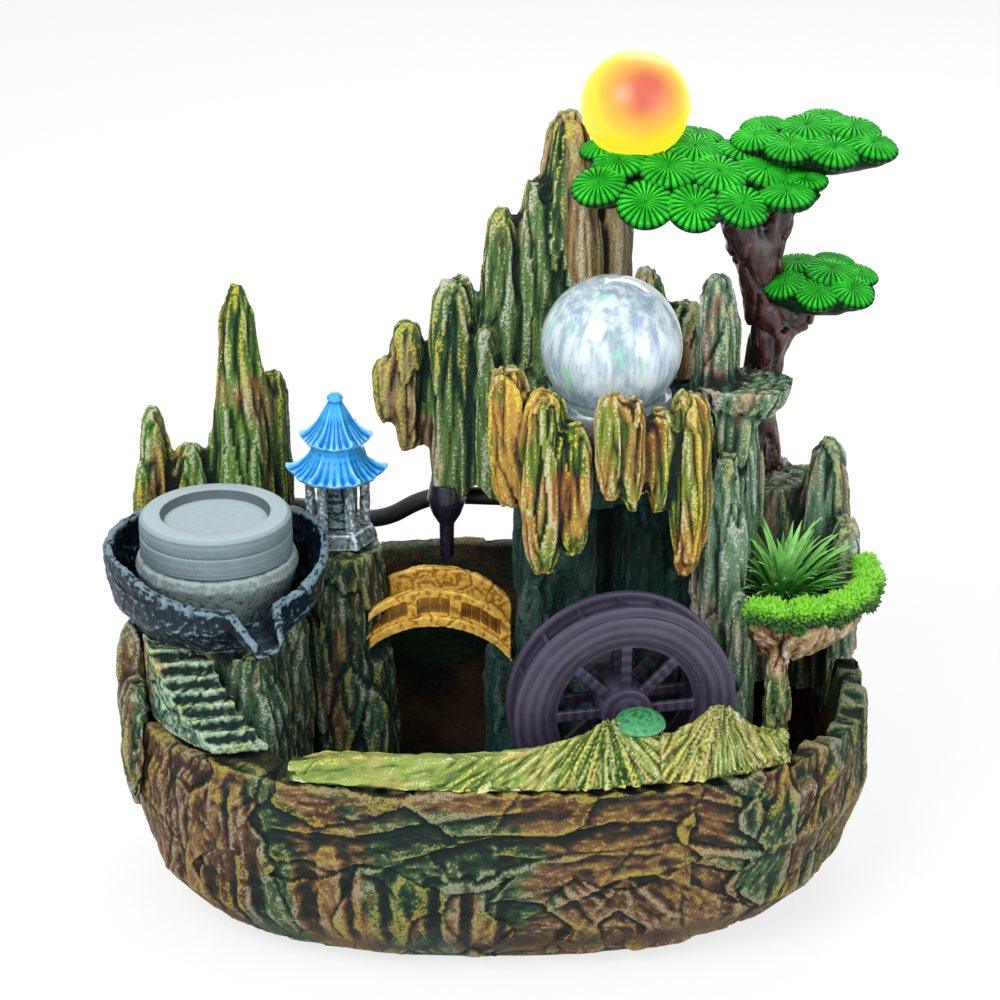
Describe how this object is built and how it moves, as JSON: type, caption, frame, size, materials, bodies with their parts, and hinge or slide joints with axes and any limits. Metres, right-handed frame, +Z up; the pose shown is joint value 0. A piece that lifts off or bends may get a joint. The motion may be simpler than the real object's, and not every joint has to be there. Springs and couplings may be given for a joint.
{
  "type": "tabletop water fountain",
  "caption": "Cast rockery tabletop fountain with a pool basin, turning millstone bowl, water wheel, crystal ball on a fed cup, pagoda, bridge, pine and lamp globe.",
  "frame": {"origin": "on the surface that the fountain stands on, under the middle of the basin rim", "axes": "+X to the right seen from the front, +Y to the back, +Z up"},
  "size_m": [0.337, 0.2221, 0.3635],
  "materials": {
    "rock": "painted cast resin rock, dry-brushed",
    "bowl_paint": "blue-grey painted resin with a pale rim",
    "millstone": "grey turned stone",
    "pagoda_blue": "bright blue paint",
    "pagoda_white": "grey-white paint",
    "bridge_ochre": "ochre paint",
    "crystal": "clear crystal",
    "cup_clear": "clear plastic",
    "lamp_globe": "translucent lit globe",
    "lamp_white": "white plastic",
    "foliage_green": "bright green paint",
    "trunk_red": "dark red-brown gloss paint",
    "moss": "bright moss paint",
    "grass": "moulded grass",
    "wheel_plastic": "dark moulded plastic",
    "steel": "plain steel",
    "bearing_plastic": "dark plastic",
    "putty": "green putty",
    "cascade_black": "blue-black plastic",
    "hose_black": "black soft tube",
    "fitting_black": "black moulded plastic",
    "rotor": "magnet and impeller",
    "mist_metal": "satin metal housing",
    "mist_light": "clear lens over coloured lights",
    "mist_guard": "pale splash guard"
  },
  "bodies": {
    "rockery": {"axle_putty": "putty", "ball_cup": "cup_clear", "ball_hose": "hose_black", "ball_jet": "fitting_black", "basin": "rock", "bridge_deck": "bridge_ochre", "bridge_rails": "bridge_ochre", "cascade_spout": "cascade_black", "cliff": "rock", "foliage_lower": "foliage_green", "foliage_upper_left": "foliage_green", "foliage_upper_right": "foliage_green", "front_bearing": "bearing_plastic", "grass_tuft": "grass", "hose_tee": "fitting_black", "left_mountain": "rock", "left_ribs": "rock", "lower_millstone": "millstone", "main_mountain": "rock", "mill_bowl": "bowl_paint", "mill_hose": "hose_black", "mill_jet": "fitting_black", "mill_pin": "steel", "mill_rock": "rock", "pagoda_columns": "pagoda_white", "pagoda_lower_roof": "pagoda_blue", "pagoda_plinth": "pagoda_white", "pagoda_rock": "rock", "pagoda_upper_roof": "pagoda_blue", "pine_trunk": "trunk_red", "planter": "rock", "planter_moss": "moss", "pump_body": "fitting_black", "pump_cover": "fitting_black", "pump_shaft": "steel", "pump_suckers": "hose_black", "rear_bearing": "bearing_plastic", "right_pillar": "rock", "right_ribs": "rock", "right_rock": "rock", "rim_rocks": "rock", "riser_hose": "hose_black", "stair_flight": "rock", "sun_globe": "lamp_globe", "sun_lamp_base": "lamp_white", "sun_led": "lamp_white"},
    "millstone": {"upper_millstone": "millstone"},
    "water_wheel": {"wheel_front_ring": "wheel_plastic", "wheel_rear_ring": "wheel_plastic", "wheel_paddles": "wheel_plastic", "wheel_hub": "wheel_plastic", "wheel_axle": "steel"},
    "ball": {"crystal_ball": "crystal"},
    "pump_impeller": {"pump_rotor": "rotor"},
    "flow_knob": {"pump_flow_knob": "fitting_black"},
    "mist_maker": {"mist_housing": "mist_metal", "mist_disc": "steel", "mist_light_ring": "mist_light", "mist_guard": "mist_guard"}
  },
  "joints": [
    {"name": "millstone_spin", "type": "hinge", "parent": "rockery", "child": "millstone", "pos_m": [-0.121, -0.015, 0.17], "axis": [0, 0, 1], "continuous": true},
    {"name": "wheel_spin", "type": "hinge", "parent": "rockery", "child": "water_wheel", "pos_m": [0.051, -0.053, 0.108], "axis": [0.2079, -0.9781, 0], "continuous": true},
    {"name": "ball_spin", "type": "hinge", "parent": "rockery", "child": "ball", "pos_m": [0.047, 0.005, 0.247], "axis": [1, 0, 0], "continuous": true},
    {"name": "pump_rotor_spin", "type": "hinge", "parent": "rockery", "child": "pump_impeller", "pos_m": [0.029, 0.057, 0.034], "axis": [1, 0, 0], "continuous": true},
    {"name": "pump_flow_turn", "type": "hinge", "parent": "rockery", "child": "flow_knob", "pos_m": [0.0145, 0.057, 0.0425], "axis": [1, 0, 0], "range_deg": [0, 90]},
    {"name": "mist_maker_lift", "type": "slide", "parent": "rockery", "child": "mist_maker", "axis": [0, 0, 1], "range_m": [0, 0.08]}
  ]
}
